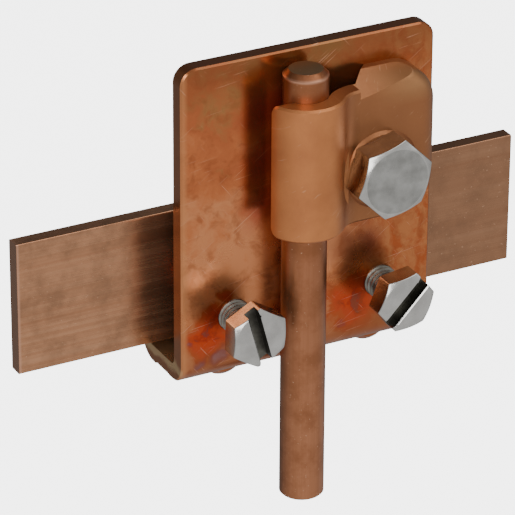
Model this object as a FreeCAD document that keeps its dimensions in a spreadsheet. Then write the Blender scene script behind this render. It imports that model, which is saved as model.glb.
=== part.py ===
import FreeCAD, Part
import os
import Sketcher

# Saddle clamp that joins a round copper conductor to a flat copper bar.
# A bent copper saddle hangs on the bar, two pressure screws pinch the bar
# against the saddle's rear leg, and a pressed cleat with one larger bolt
# holds the conductor upright against the saddle's front plate.
# Row frame: origin at the middle of the bar's left end face, +X along the
# bar, +Y to the back, +Z up. Each piece is drawn in the saddle's own frame
# (x from the plate's left edge, y from its front face, z from the floor's
# underside) or about its own axis, and its placement moves it into the row.

doc = FreeCAD.newDocument("saddle_clamp")
sizes = doc.addObject("Spreadsheet::Sheet", "sizes")

DRIVING_SIZES = (
    ("bar_length", 98.0),
    ("bar_height", 25.0),
    ("bar_thickness", 3.0),
    ("bar_edge_radius", 0.3),
    ("bar_above_floor", 4.15),
    ("saddle_from_bar_end", 26.5),
    ("sheet_thickness", 3.0),
    ("plate_width", 49.0),
    ("plate_height", 60.0),
    ("plate_corner_radius", 3.0),
    ("floor_thickness", 2.8),
    ("sag_from_bend", 1.0),
    ("front_bend_radius", 4.0),
    ("rear_bend_radius", 4.5),
    ("inner_bend_radius", 1.2),
    ("front_bend_sag", 0.4),
    ("rear_bend_sag", 0.3),
    ("rear_leg_height", 18.0),
    ("cut_edge_bevel", 0.3),
    ("bead_width", 7.2),
    ("bead_drop", 1.8),
    ("bead_front", 3.2),
    ("bead_end_bevel", 0.8),
    ("screw_spacing", 29.0),
    ("screw_from_edge", 10.2),
    ("screw_height", 11.7),
    ("screw_radius", 3.0),
    ("screw_length", 16.0),
    ("screw_head_gap", 6.2),
    ("screw_across_flats", 9.85),
    ("screw_head_height", 4.0),
    ("screw_tip_chamfer", 0.6),
    ("slot_width", 2.2),
    ("slot_depth", 2.2),
    ("left_head_turn", 28.2),
    ("left_slot_turn", 105.0),
    ("right_head_turn", 8.6),
    ("right_slot_turn", 45.7),
    ("screw_collar_radius", 4.7),
    ("screw_collar_height", 2.5),
    ("bolt_from_rod", 13.3),
    ("bolt_height", 37.5),
    ("bolt_radius", 4.0),
    ("bolt_length", 20.0),
    ("bolt_across_flats", 12.8),
    ("bolt_head_height", 5.3),
    ("bolt_head_turn", 15.0),
    ("bolt_tip_chamfer", 0.8),
    ("bolt_collar_radius", 6.2),
    ("bolt_collar_height", 3.0),
    ("collar_taper", 5.0),
    ("head_chamfer_angle", 30.0),
    ("head_face_share", 0.94),
    ("running_gap", 0.05),
    ("rod_radius", 4.0),
    ("rod_length", 82.4),
    ("rod_top", 58.0),
    ("rod_from_edge", 21.7),
    ("rod_top_chamfer", 1.0),
    ("rod_foot_chamfer", 0.3),
    ("cleat_bottom", 28.1),
    ("cleat_height", 25.0),
    ("channel_lip", 0.5),
    ("channel_lip_round", 2.0),
    ("flank_radius", 5.0),
    ("wing_reach", 7.0),
    ("rim_rise", 1.3),
    ("rim_from_bolt", 11.6),
    ("rim_bend_radius", 3.6),
    ("rim_corner_radius", 6.5),
    ("rim_foot_radius", 9.5),
    ("rim_end_run", 4.4),
    ("rim_end_slope", 0.95),
    ("rim_crest", 1.5),
    ("rim_slope_left", 29.0),
    ("rim_slope_right", 8.5),
    ("cleat_edge_bevel", 0.4),
    ("seat_radius", 7.2),
    ("seat_height", 0.6),
    ("seat_slope_angle", 40.0),
    ("head_room", 1.0),
    ("bolt_hole_radius", 4.5),
    ("cut_margin", 1.0),
)

# How near two places must be to count as one, and the least volume a cut
# has to take away, in millimetres and cubic millimetres.
SAME_PLACE = 1e-4
LEAST_CUT = 1e-3

for row, (alias, size) in enumerate(DRIVING_SIZES, start=1):
    sizes.set("A%d" % row, alias.replace("_", " "))
    sizes.set("B%d" % row, str(size))
    sizes.setAlias("B%d" % row, alias)
doc.recompute()

# Places worked out from the driving sizes, as expressions over the sheet.
BAR_FRONT = "(sizes.screw_length - sizes.screw_head_gap)"
LEG_INSIDE = "(%s + sizes.bar_thickness)" % BAR_FRONT
LEG_OUTSIDE = "(%s + sizes.sheet_thickness)" % LEG_INSIDE
SADDLE_X = "sizes.saddle_from_bar_end"
SADDLE_Y = "(-(%s) - sizes.bar_thickness / 2)" % BAR_FRONT
SADDLE_Z = "(-sizes.bar_above_floor - sizes.bar_height / 2)"
CHANNEL_RADIUS = "(sizes.rod_radius + sizes.running_gap)"
ROD_Y = "(-%s)" % CHANNEL_RADIUS
CHANNEL_OUTER = "(%s + sizes.sheet_thickness)" % CHANNEL_RADIUS
CLEAT_TOP = "(sizes.cleat_bottom + sizes.cleat_height)"
BOLT_X = "(sizes.rod_from_edge + sizes.bolt_from_rod)"
RIM_TOP = "(%s + sizes.rim_rise)" % CLEAT_TOP
RIM_RIGHT = "(%s + sizes.rim_from_bolt)" % BOLT_X
FLANK_SPAN = "(%s + sizes.flank_radius)" % CHANNEL_OUTER
FLANK_Y = "(-(sizes.wing_reach + sizes.flank_radius))"
FLANK_RUN = "sqrt(%s^2 - (%s - %s)^2)" % (FLANK_SPAN, FLANK_Y, ROD_Y)
FLANK_X = "(sizes.rod_from_edge + %s)" % FLANK_RUN
WING_INSIDE = "(-(sizes.wing_reach - sizes.sheet_thickness))"
WING_CLEAR = "(-sizes.wing_reach - sizes.cut_margin)"


def number(expression):
    """Value of an expression over the sheet."""
    return float(sizes.evalExpression(expression))


def new_body(name, x="0", y="0", z="0"):
    """Empty body that carries the sub-part's name, placed in the row frame."""
    body = doc.addObject("PartDesign::Body", name)
    body.Label = name
    body.setExpression("Placement.Base.x", x)
    body.setExpression("Placement.Base.y", y)
    body.setExpression("Placement.Base.z", z)
    return body


def new_sketch(body, name, role, offset="0"):
    """Sketch on one of the body's origin planes, moved along its normal."""
    sketch = body.newObject("Sketcher::SketchObject", name)
    plane = [item for item in body.Origin.OriginFeatures if item.Role == role][0]
    sketch.AttachmentSupport = (plane, [""])
    sketch.MapMode = "FlatFace"
    sketch.setExpression("AttachmentOffset.Base.z", offset)
    return sketch


def pin_point(sketch, curve, end, point):
    """Hold one end of a curve at a point given as two expressions."""
    for kind, expression in zip(("DistanceX", "DistanceY"), point):
        datum = Sketcher.Constraint(kind, -1, 1, curve, end, number(expression))
        index = sketch.addConstraint(datum)
        sketch.setExpression("Constraints[%d]" % index, expression)


def draw_outline(sketch, corners, arcs=None):
    """Closed outline through the corners; arcs maps a side to (radius, centre)."""
    arcs = arcs or {}
    count = len(corners)
    spots = [FreeCAD.Vector(number(x), number(y), 0) for x, y in corners]
    for side in range(count):
        start = spots[side]
        end = spots[(side + 1) % count]
        if side in arcs:
            radius, centre = arcs[side]
            middle = FreeCAD.Vector(number(centre[0]), number(centre[1]), 0)
            bulge = centre[2]
            chord = (start + end) * 0.5 - middle
            crown = middle + chord.normalize() * (number(radius) * bulge)
            sketch.addGeometry(Part.Arc(start, crown, end))
        else:
            sketch.addGeometry(Part.LineSegment(start, end))
    for side in range(count):
        nearer = arc_end(sketch, side, spots[side])
        pin_point(sketch, side, nearer, corners[side])
        further = 3 - nearer
        following = (side + 1) % count
        joint = arc_end(sketch, following, spots[following])
        sketch.addConstraint(Sketcher.Constraint("Coincident", side, further, following, joint))
    for side, (radius, centre) in arcs.items():
        index = sketch.addConstraint(Sketcher.Constraint("Radius", side, number(radius)))
        sketch.setExpression("Constraints[%d]" % index, radius)


def arc_end(sketch, curve, spot):
    """1 if the curve starts at the spot, 2 if it ends there."""
    return 1 if sketch.getPoint(curve, 1).distanceToPoint(spot) < 1e-6 else 2


def draw_circle(sketch, x, y, radius):
    """Circle with its centre and radius bound to expressions."""
    centre = FreeCAD.Vector(number(x), number(y), 0)
    curve = sketch.addGeometry(Part.Circle(centre, FreeCAD.Vector(0, 0, 1), number(radius)))
    pin_point(sketch, curve, 3, (x, y))
    index = sketch.addConstraint(Sketcher.Constraint("Radius", curve, number(radius)))
    sketch.setExpression("Constraints[%d]" % index, radius)


def pad(body, sketch, length, backwards=False, taper=None):
    """Material along the sketch's normal, or against it."""
    feature = body.newObject("PartDesign::Pad", sketch.Name + "_pad")
    feature.Profile = sketch
    feature.setExpression("Length", length)
    feature.Reversed = backwards
    if taper:
        feature.setExpression("TaperAngle", taper)
    doc.recompute()


def finish_cut(body, cut, before):
    """Work out a cut and make sure that it takes material away."""
    doc.recompute()
    if not body.Shape.Volume < before - LEAST_CUT:
        raise RuntimeError(cut.Name + " removes nothing")


def pocket(body, sketch, length, forwards=False):
    """Cut against the sketch's normal, or along it."""
    before = body.Shape.Volume
    feature = body.newObject("PartDesign::Pocket", sketch.Name + "_cut")
    feature.Profile = sketch
    feature.setExpression("Length", length)
    feature.Reversed = forwards
    finish_cut(body, feature, before)


def edges_through(body, point, direction):
    """Names of the straight edges that pass a point and run in a direction."""
    spot = FreeCAD.Vector(*point)
    line = FreeCAD.Vector(*direction)
    names = []
    for index, edge in enumerate(body.Tip.Shape.Edges, start=1):
        if not isinstance(edge.Curve, Part.Line):
            continue
        run = edge.Vertexes[-1].Point - edge.Vertexes[0].Point
        if run.cross(line).Length > 1e-6 * run.Length:
            continue
        away = spot - edge.Vertexes[0].Point
        if away.cross(run).Length / run.Length < SAME_PLACE:
            names.append("Edge%d" % index)
    return names


def circles_at(body, centre, radius):
    """Names of the circles and arcs about a centre with a radius."""
    spot = FreeCAD.Vector(*centre)
    names = []
    for index, edge in enumerate(body.Tip.Shape.Edges, start=1):
        curve = edge.Curve
        if not isinstance(curve, Part.Circle) or abs(curve.Radius - radius) > SAME_PLACE:
            continue
        if curve.Center.distanceToPoint(spot) < SAME_PLACE:
            names.append("Edge%d" % index)
    return names


def front_outline(body):
    """Names of the edges round the front plate's face, without its bend line."""
    shape = body.Tip.Shape
    walls = [face for face in shape.Faces if face.BoundBox.YMax < SAME_PLACE]
    sides = max(walls, key=lambda face: face.Area).Edges
    bend_z = min(side.CenterOfMass.z for side in sides)
    cut_sides = [side for side in sides if side.CenterOfMass.z > bend_z + SAME_PLACE]
    names = []
    for index, edge in enumerate(shape.Edges, start=1):
        if any(edge.isSame(side) for side in cut_sides):
            names.append("Edge%d" % index)
    return names


def round_edges(body, name, edges, radius):
    """Rounding on named edges of the body's last feature."""
    base = body.Tip
    feature = body.newObject("PartDesign::Fillet", name)
    feature.Base = (base, edges)
    feature.setExpression("Radius", radius)
    doc.recompute()


def bevel_edges(body, name, edges, size):
    """Equal chamfer on named edges of the body's last feature."""
    base = body.Tip
    feature = body.newObject("PartDesign::Chamfer", name)
    feature.Base = (base, edges)
    feature.setExpression("Size", size)
    doc.recompute()


def make_bar():
    """Flat bar with softly rolled long edges, centred on the row's origin line."""
    body = new_body("flat_bar")
    half_y = "sizes.bar_thickness / 2"
    half_z = "sizes.bar_height / 2"
    section = new_sketch(body, "bar_section", "YZ_Plane")
    draw_outline(section, [
        ("-(%s)" % half_y, "-(%s)" % half_z),
        (half_y, "-(%s)" % half_z),
        (half_y, half_z),
        ("-(%s)" % half_y, half_z),
    ])
    pad(body, section, "sizes.bar_length")
    edges = []
    for side_y in (-1, 1):
        for side_z in (-1, 1):
            corner = (0, side_y * number(half_y), side_z * number(half_z))
            edges += edges_through(body, corner, (1, 0, 0))
    round_edges(body, "bar_rounding", edges, "sizes.bar_edge_radius")
    return body


def make_rod():
    """Round conductor with a chamfered top end."""
    x = "%s + sizes.rod_from_edge" % SADDLE_X
    body = new_body("round_conductor", x, "%s + %s" % (SADDLE_Y, ROD_Y), SADDLE_Z)
    section = new_sketch(body, "rod_section", "XY_Plane", "sizes.rod_top - sizes.rod_length")
    draw_circle(section, "0", "0", "sizes.rod_radius")
    pad(body, section, "sizes.rod_length")
    radius = number("sizes.rod_radius")
    top = circles_at(body, (0, 0, number("sizes.rod_top")), radius)
    bevel_edges(body, "rod_top_bevel", top, "sizes.rod_top_chamfer")
    foot = circles_at(body, (0, 0, number("sizes.rod_top - sizes.rod_length")), radius)
    bevel_edges(body, "rod_foot_bevel", foot, "sizes.rod_foot_chamfer")
    return body


def make_saddle():
    """Bent copper plate: front plate, floor and short rear leg round the bar."""
    body = new_body("saddle_body", SADDLE_X, SADDLE_Y, SADDLE_Z)
    side = new_sketch(body, "saddle_side", "YZ_Plane")
    sag_end = "(sizes.front_bend_radius + sizes.sag_from_bend)"
    rear_sag = "(%s - sizes.rear_bend_radius - sizes.sag_from_bend)" % LEG_OUTSIDE
    draw_outline(side, [
        ("0", "sizes.plate_height"),
        ("0", "-sizes.front_bend_sag"),
        (sag_end, "-sizes.front_bend_sag"),
        ("%s + sizes.front_bend_sag / 2" % sag_end, "0"),
        ("%s - sizes.rear_bend_sag / 2" % rear_sag, "0"),
        (rear_sag, "-sizes.rear_bend_sag"),
        (LEG_OUTSIDE, "-sizes.rear_bend_sag"),
        (LEG_OUTSIDE, "sizes.rear_leg_height"),
        (LEG_INSIDE, "sizes.rear_leg_height"),
        (LEG_INSIDE, "sizes.floor_thickness"),
        ("sizes.sheet_thickness", "sizes.floor_thickness"),
        ("sizes.sheet_thickness", "sizes.plate_height"),
    ])
    pad(body, side, "sizes.plate_width")

    thickness = number("sizes.sheet_thickness")
    width = number("sizes.plate_width")
    height = number("sizes.plate_height")
    leg = number("sizes.rear_leg_height")
    leg_in = number(LEG_INSIDE)
    leg_out = number(LEG_OUTSIDE)
    along_x = (1, 0, 0)
    along_y = (0, 1, 0)
    front = edges_through(body, (0, 0, number("-sizes.front_bend_sag")), along_x)
    round_edges(body, "front_bend", front, "sizes.front_bend_radius")
    rear = edges_through(body, (0, leg_out, number("-sizes.rear_bend_sag")), along_x)
    round_edges(body, "rear_bend", rear, "sizes.rear_bend_radius")
    floor_z = number("sizes.floor_thickness")
    inside = edges_through(body, (0, thickness, floor_z), along_x)
    inside += edges_through(body, (0, leg_in, floor_z), along_x)
    round_edges(body, "inner_bends", inside, "sizes.inner_bend_radius")
    corners = []
    for x in (0, width):
        corners += edges_through(body, (x, thickness / 2, height), along_y)
        corners += edges_through(body, (x, (leg_in + leg_out) / 2, leg), along_y)
    round_edges(body, "plate_corners", corners, "sizes.plate_corner_radius")
    bevel_edges(body, "plate_front_edges", front_outline(body), "sizes.cut_edge_bevel")

    add_bead(body, "left_bead", "sizes.screw_from_edge")
    add_bead(body, "right_bead", "sizes.screw_from_edge + sizes.screw_spacing")

    collars = (
        ("left_screw", "sizes.screw_from_edge", "sizes.screw_height", "screw"),
        ("right_screw", "sizes.screw_from_edge + sizes.screw_spacing", "sizes.screw_height", "screw"),
        ("bolt", BOLT_X, "sizes.bolt_height", "bolt"),
    )
    for name, x, z, kind in collars:
        collar = new_sketch(body, name + "_collar", "XZ_Plane", "-sizes.sheet_thickness")
        draw_circle(collar, x, z, "sizes.%s_collar_radius" % kind)
        pad(body, collar, "sizes.%s_collar_height" % kind, True, "-sizes.collar_taper")
    for name, x, z, kind in collars:
        hole = new_sketch(body, name + "_thread_hole", "XZ_Plane")
        draw_circle(hole, x, z, "sizes.%s_radius + sizes.running_gap" % kind)
        pocket(body, hole, "sizes.sheet_thickness + sizes.%s_collar_height" % kind)
    return body


def add_bead(body, name, x):
    """Stiffening bead pressed down through the floor under one screw."""
    half = "sizes.bead_width / 2"
    radius = "(((%s)^2 + sizes.bead_drop^2) / (2 * sizes.bead_drop))" % half
    centre_z = "(%s - sizes.bead_drop)" % radius
    ridge = new_sketch(body, name + "_ridge", "XZ_Plane", "-sizes.bead_front")
    draw_outline(ridge, [
        ("%s - %s" % (x, half), "0"),
        ("%s + %s" % (x, half), "0"),
        ("%s + %s" % (x, half), "sizes.floor_thickness / 2"),
        ("%s - %s" % (x, half), "sizes.floor_thickness / 2"),
    ], {0: (radius, (x, centre_z, 1))})
    pad(body, ridge, "%s - 2 * sizes.bead_front" % LEG_OUTSIDE, True)
    ends = []
    for end_y in ("sizes.bead_front", "%s - sizes.bead_front" % LEG_OUTSIDE):
        centre = (number(x), number(end_y), number(centre_z))
        ends += circles_at(body, centre, number(radius))
    bevel_edges(body, name + "_ends", ends, "sizes.bead_end_bevel")
    groove_front = "-(sizes.sheet_thickness + sizes.inner_bend_radius)"
    groove = new_sketch(body, name + "_groove", "XZ_Plane", groove_front)
    draw_circle(groove, x, centre_z, "%s - sizes.sheet_thickness" % radius)
    floor_run = "%s - sizes.sheet_thickness - 2 * sizes.inner_bend_radius" % LEG_INSIDE
    pocket(body, groove, floor_run)


def add_hex_head(body, name, flats, head_height, turn, start):
    """Hexagon head with the usual chamfer on its outer face."""
    sketch = new_sketch(body, name + "_hexagon", "XZ_Plane", start)
    reach = "(%s / 2 / cos(30))" % flats
    corners = []
    for index in range(6):
        angle = "(%s + %d)" % (turn, 60 * index)
        corners.append(("%s * cos(%s)" % (reach, angle), "%s * sin(%s)" % (reach, angle)))
    draw_outline(sketch, corners)
    pad(body, sketch, head_height)
    face_y = "(-(%s) - %s)" % (start, head_height)
    rim = "(%s / 2 * sizes.head_face_share)" % flats
    outside = "(%s + sizes.cut_margin)" % reach
    before_y = "%s - sizes.cut_margin" % face_y
    slope = "tan(sizes.head_chamfer_angle)"
    wedge = new_sketch(body, name + "_chamfer", "XY_Plane")
    draw_outline(wedge, [
        (rim, face_y),
        (rim, before_y),
        (outside, before_y),
        (outside, "%s + (%s - %s) * %s" % (face_y, outside, rim, slope)),
    ])
    before = body.Shape.Volume
    groove = body.newObject("PartDesign::Groove", name + "_chamfer_cut")
    groove.Profile = wedge
    groove.ReferenceAxis = (wedge, ["V_Axis"])
    groove.Angle = 360
    finish_cut(body, groove, before)


def add_shank(body, name, radius, length, start, bevel):
    """Round shank behind the head, bevelled at its tip."""
    section = new_sketch(body, name + "_shank", "XZ_Plane", start)
    draw_circle(section, "0", "0", radius)
    pad(body, section, length, True)
    tip = (0, number("%s - (%s)" % (length, start)), 0)
    bevel_edges(body, name + "_tip", circles_at(body, tip, number(radius)), bevel)


def make_screw(name, x, side):
    """Pressure screw: hexagon head with a driving slot and a plain shank."""
    body = new_body(name, "%s + %s" % (SADDLE_X, x), SADDLE_Y, "%s + sizes.screw_height" % SADDLE_Z)
    gap = "sizes.screw_head_gap"
    turn = "sizes.%s_head_turn" % side
    add_hex_head(body, name, "sizes.screw_across_flats", "sizes.screw_head_height", turn, gap)
    add_shank(body, name, "sizes.screw_radius", "sizes.screw_length", gap, "sizes.screw_tip_chamfer")
    face = "%s + sizes.screw_head_height" % gap
    slot = new_sketch(body, name + "_slot", "XZ_Plane", face)
    angle = "sizes.%s_slot_turn" % side
    reach = "sizes.screw_across_flats"
    half = "sizes.slot_width / 2"
    corners = []
    for along, across in ((-1, -1), (1, -1), (1, 1), (-1, 1)):
        x_part = "%d * %s * cos(%s) - %d * %s * sin(%s)" % (along, reach, angle, across, half, angle)
        z_part = "%d * %s * sin(%s) + %d * %s * cos(%s)" % (along, reach, angle, across, half, angle)
        corners.append((x_part, z_part))
    draw_outline(slot, corners)
    pocket(body, slot, "sizes.slot_depth")
    return body


def make_bolt():
    """Clamp bolt that draws the cleat onto the conductor."""
    x = "%s + %s" % (SADDLE_X, BOLT_X)
    body = new_body("clamp_bolt", x, SADDLE_Y, "%s + sizes.bolt_height" % SADDLE_Z)
    seat = "(sizes.wing_reach + sizes.seat_height)"
    flats = "sizes.bolt_across_flats"
    add_hex_head(body, "clamp_bolt", flats, "sizes.bolt_head_height", "sizes.bolt_head_turn", seat)
    add_shank(body, "clamp_bolt", "sizes.bolt_radius", "sizes.bolt_length", seat, "sizes.bolt_tip_chamfer")
    return body


def make_cleat():
    """Pressed cleat: open channel round the conductor and a rimmed wing."""
    body = new_body("cleat", SADDLE_X, SADDLE_Y, SADDLE_Z)

    # The wing is a shallow pan: flat front wall, with the rim bent back to
    # the plate along its top and right sides.
    pan = new_sketch(body, "wing_pan", "XZ_Plane")
    draw_outline(pan, [
        (FLANK_X, "sizes.cleat_bottom"),
        (RIM_RIGHT, "sizes.cleat_bottom"),
        (RIM_RIGHT, RIM_TOP),
        (FLANK_X, RIM_TOP),
    ])
    pad(body, pan, "sizes.wing_reach")
    reach = number("sizes.wing_reach")
    right = number(RIM_RIGHT)
    top = number(RIM_TOP)
    bottom = number("sizes.cleat_bottom")
    flank_x = number(FLANK_X)
    corner = edges_through(body, (right, -reach / 2, top), (0, 1, 0))
    round_edges(body, "rim_corner", corner, "sizes.rim_corner_radius")
    front = edges_through(body, (right, -reach, bottom), (0, 0, 1))
    front += edges_through(body, (flank_x, -reach, top), (1, 0, 0))
    round_edges(body, "rim_bend", front, "sizes.rim_bend_radius")
    open_sides = []
    for index, face in enumerate(body.Tip.Shape.Faces, start=1):
        middle = face.CenterOfMass
        away = (middle.y, middle.x - flank_x, middle.z - bottom)
        if min(abs(distance) for distance in away) < SAME_PLACE:
            open_sides.append("Face%d" % index)
    pan_block = body.Tip
    shell = body.newObject("PartDesign::Thickness", "pan_shell")
    shell.Base = (pan_block, open_sides)
    shell.setExpression("Value", "sizes.sheet_thickness")
    shell.Reversed = True
    shell.Join = 1
    doc.recompute()

    # The rim is pressed to a slope above the wing, steep beside the channel
    # and fading to the right; a level crest is left along the plate.
    ends = []
    over = "(%s + sizes.cut_margin)" % RIM_TOP
    slope_run = "(-%s - sizes.rim_crest)" % WING_CLEAR
    for side, x in (("left", FLANK_X), ("right", "(%s - sizes.rim_bend_radius)" % RIM_RIGHT)):
        end = new_sketch(body, "rim_slope_%s" % side, "YZ_Plane", x)
        foot_z = "%s - %s * tan(sizes.rim_slope_%s)" % (RIM_TOP, slope_run, side)
        draw_outline(end, [
            ("-sizes.rim_crest", RIM_TOP),
            ("-sizes.rim_crest", over),
            (WING_CLEAR, over),
            (WING_CLEAR, foot_z),
        ])
        ends.append(end)
    before = body.Shape.Volume
    slope = body.newObject("PartDesign::SubtractiveLoft", "rim_slope")
    slope.Profile = ends[0]
    slope.Sections = [ends[1]]
    slope.Ruled = True
    finish_cut(body, slope, before)

    # The channel and its flank keep one sheet thickness: two arcs about the
    # conductor's axis run into two arcs about the flank's centre.
    ratio = "(%s / %s)" % (CHANNEL_OUTER, FLANK_SPAN)
    inner_ratio = "(%s / %s)" % (CHANNEL_RADIUS, FLANK_SPAN)
    run_x = "(%s - sizes.rod_from_edge)" % FLANK_X
    run_y = "(%s - %s)" % (FLANK_Y, ROD_Y)
    lip_y = "(%s - sizes.channel_lip)" % ROD_Y
    outer_lip = "(sizes.rod_from_edge - sqrt(%s^2 - sizes.channel_lip^2))" % CHANNEL_OUTER
    inner_lip = "(sizes.rod_from_edge - sqrt(%s^2 - sizes.channel_lip^2))" % CHANNEL_RADIUS
    outer_turn = ("sizes.rod_from_edge + %s * %s" % (run_x, ratio), "%s + %s * %s" % (ROD_Y, run_y, ratio))
    inner_turn = (
        "sizes.rod_from_edge + %s * %s" % (run_x, inner_ratio),
        "%s + %s * %s" % (ROD_Y, run_y, inner_ratio),
    )
    channel = new_sketch(body, "channel_section", "XY_Plane", "sizes.cleat_bottom")
    draw_outline(channel, [
        (outer_lip, lip_y),
        outer_turn,
        (FLANK_X, "-sizes.wing_reach"),
        (FLANK_X, WING_INSIDE),
        inner_turn,
        (inner_lip, lip_y),
    ], {
        0: (CHANNEL_OUTER, ("sizes.rod_from_edge", ROD_Y, 1)),
        1: ("sizes.flank_radius", (FLANK_X, FLANK_Y, 1)),
        3: ("sizes.flank_radius + sizes.sheet_thickness", (FLANK_X, FLANK_Y, 1)),
        4: (CHANNEL_RADIUS, ("sizes.rod_from_edge", ROD_Y, 1)),
    })
    pad(body, channel, "sizes.cleat_height")
    lip = number(lip_y)
    lip_x = number("(%s + %s) / 2" % (outer_lip, inner_lip))
    lip_corners = edges_through(body, (lip_x, lip, number(CLEAT_TOP)), (1, 0, 0))
    lip_corners += edges_through(body, (lip_x, lip, bottom), (1, 0, 0))
    round_edges(body, "lip_corners", lip_corners, "sizes.channel_lip_round")
    rim_edges = []
    for level in (CLEAT_TOP, "sizes.cleat_bottom"):
        height = number(level)
        rod_axis = (number("sizes.rod_from_edge"), number(ROD_Y), height)
        rim_edges += circles_at(body, rod_axis, number(CHANNEL_OUTER))
        rim_edges += circles_at(body, (flank_x, number(FLANK_Y), height), number("sizes.flank_radius"))
    bevel_edges(body, "channel_edges", rim_edges, "sizes.cleat_edge_bevel")

    # The rim's left end slopes away from the channel, above the channel's
    # top edge and behind the wing's front wall.
    rim_end_x = "(%s + sizes.rim_end_run)" % FLANK_X
    behind_level = "(%s - sizes.sheet_thickness - sizes.cut_margin)" % RIM_TOP
    end_cuts = (
        ("rim_end", CLEAT_TOP, WING_CLEAR),
        ("rim_end_behind", behind_level, WING_INSIDE),
    )
    for name, level, front_y in end_cuts:
        cut = new_sketch(body, name, "XY_Plane", level)
        front_x = "(%s + sizes.rim_end_slope * %s)" % (rim_end_x, front_y)
        left_x = "(%s - sizes.rim_end_run)" % front_x
        draw_outline(cut, [
            (left_x, front_y),
            (front_x, front_y),
            (rim_end_x, "0"),
            (rim_end_x, "sizes.cut_margin"),
            (left_x, "sizes.cut_margin"),
        ])
        pocket(body, cut, "%s - %s" % (over, level), True)

    # The free lower corner is rounded off in line with the bolt head.
    foot = new_sketch(body, "wing_foot", "XZ_Plane", "-sizes.cut_margin")
    foot_x = "(%s - sizes.rim_foot_radius)" % RIM_RIGHT
    foot_z = "(sizes.cleat_bottom + sizes.rim_foot_radius)"
    beside = "(%s + sizes.cut_margin)" % RIM_RIGHT
    below = "(sizes.cleat_bottom - sizes.cut_margin)"
    draw_outline(foot, [
        (foot_x, "sizes.cleat_bottom"),
        (RIM_RIGHT, foot_z),
        (beside, foot_z),
        (beside, below),
        (foot_x, below),
    ], {0: ("sizes.rim_foot_radius", (foot_x, foot_z, 1))})
    pocket(body, foot, "sizes.wing_reach + 2 * sizes.cut_margin", True)

    # Raised round seat under the bolt head, with room for its corners where
    # the channel's flank comes close.
    seat = new_sketch(body, "bolt_seat", "XZ_Plane", "sizes.wing_reach")
    draw_circle(seat, BOLT_X, "sizes.bolt_height", "sizes.seat_radius")
    pad(body, seat, "sizes.seat_height", taper="-sizes.seat_slope_angle")
    room = new_sketch(body, "head_room", "XZ_Plane", "sizes.wing_reach + sizes.seat_height")
    head_reach = "sizes.bolt_across_flats / 2 / cos(30) + sizes.head_room"
    draw_circle(room, BOLT_X, "sizes.bolt_height", head_reach)
    pocket(body, room, CHANNEL_OUTER, True)
    hole = new_sketch(body, "bolt_hole", "XZ_Plane")
    draw_circle(hole, BOLT_X, "sizes.bolt_height", "sizes.bolt_hole_radius")
    pocket(body, hole, "sizes.wing_reach + sizes.seat_height + sizes.cut_margin", True)
    return body


subparts = [
    make_bar(),
    make_rod(),
    make_saddle(),
    make_screw("pressure_screw_left", "sizes.screw_from_edge", "left"),
    make_screw("pressure_screw_right", "(sizes.screw_from_edge + sizes.screw_spacing)", "right"),
    make_bolt(),
    make_cleat(),
]
doc.recompute()

for item in doc.Objects:
    if "Invalid" in item.State or "Error" in item.State:
        raise RuntimeError("%s failed: %s" % (item.Name, item.State))
for body in subparts:
    if body.Shape.isNull() or not body.Shape.isValid() or len(body.Shape.Solids) != 1:
        raise RuntimeError("%s is not one valid solid" % body.Label)

os.makedirs("parts", exist_ok=True)
for body in subparts:
    body.Shape.exportStep("parts/%s.step" % body.Label)
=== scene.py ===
import math

import bmesh
import bpy
from mathutils import Matrix, Vector


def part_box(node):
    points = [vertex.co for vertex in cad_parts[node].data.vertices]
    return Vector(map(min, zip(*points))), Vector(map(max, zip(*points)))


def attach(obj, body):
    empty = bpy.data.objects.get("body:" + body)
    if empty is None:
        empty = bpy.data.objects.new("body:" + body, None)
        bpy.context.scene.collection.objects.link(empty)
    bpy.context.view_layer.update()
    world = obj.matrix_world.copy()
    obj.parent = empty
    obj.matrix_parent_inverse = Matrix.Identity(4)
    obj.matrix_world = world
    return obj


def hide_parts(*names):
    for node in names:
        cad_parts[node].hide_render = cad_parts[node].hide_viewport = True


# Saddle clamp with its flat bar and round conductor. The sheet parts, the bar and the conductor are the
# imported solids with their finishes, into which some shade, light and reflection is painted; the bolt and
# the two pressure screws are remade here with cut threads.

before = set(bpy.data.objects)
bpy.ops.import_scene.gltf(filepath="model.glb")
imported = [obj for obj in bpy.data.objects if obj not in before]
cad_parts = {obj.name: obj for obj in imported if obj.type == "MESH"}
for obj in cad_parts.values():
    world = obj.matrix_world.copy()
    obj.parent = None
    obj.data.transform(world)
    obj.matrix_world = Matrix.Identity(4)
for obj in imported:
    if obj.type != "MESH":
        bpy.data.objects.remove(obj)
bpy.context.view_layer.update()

MM = 0.001

# Where the saddle's own frame sits in the row: the plate's left edge, its
# front face and the floor's underside.
PLATE_LEFT = 26.5
PLATE_FRONT = -11.3
FLOOR_UNDERSIDE = -16.65

# How far a flat pattern reaches through a piece along Y, in millimetres, so
# that it doesn't change with depth.
THROUGH = 50

# Sockets of a mix node, which shares its socket names among data types.
FACTOR, FIRST, SECOND, MIXED = 0, 6, 7, 2


def linear(hex_colour):
    """sRGB hex to the linear colour that the shaders take."""
    channels = [int(hex_colour[i:i + 2], 16) / 255 for i in (1, 3, 5)]
    curve = [c / 12.92 if c <= 0.04045 else ((c + 0.055) / 1.055) ** 2.4 for c in channels]
    return (*curve, 1.0)


def repeats(size):
    """Pattern repeats per metre for a feature of a size in millimetres."""
    return 1 / (size * MM)


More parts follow.
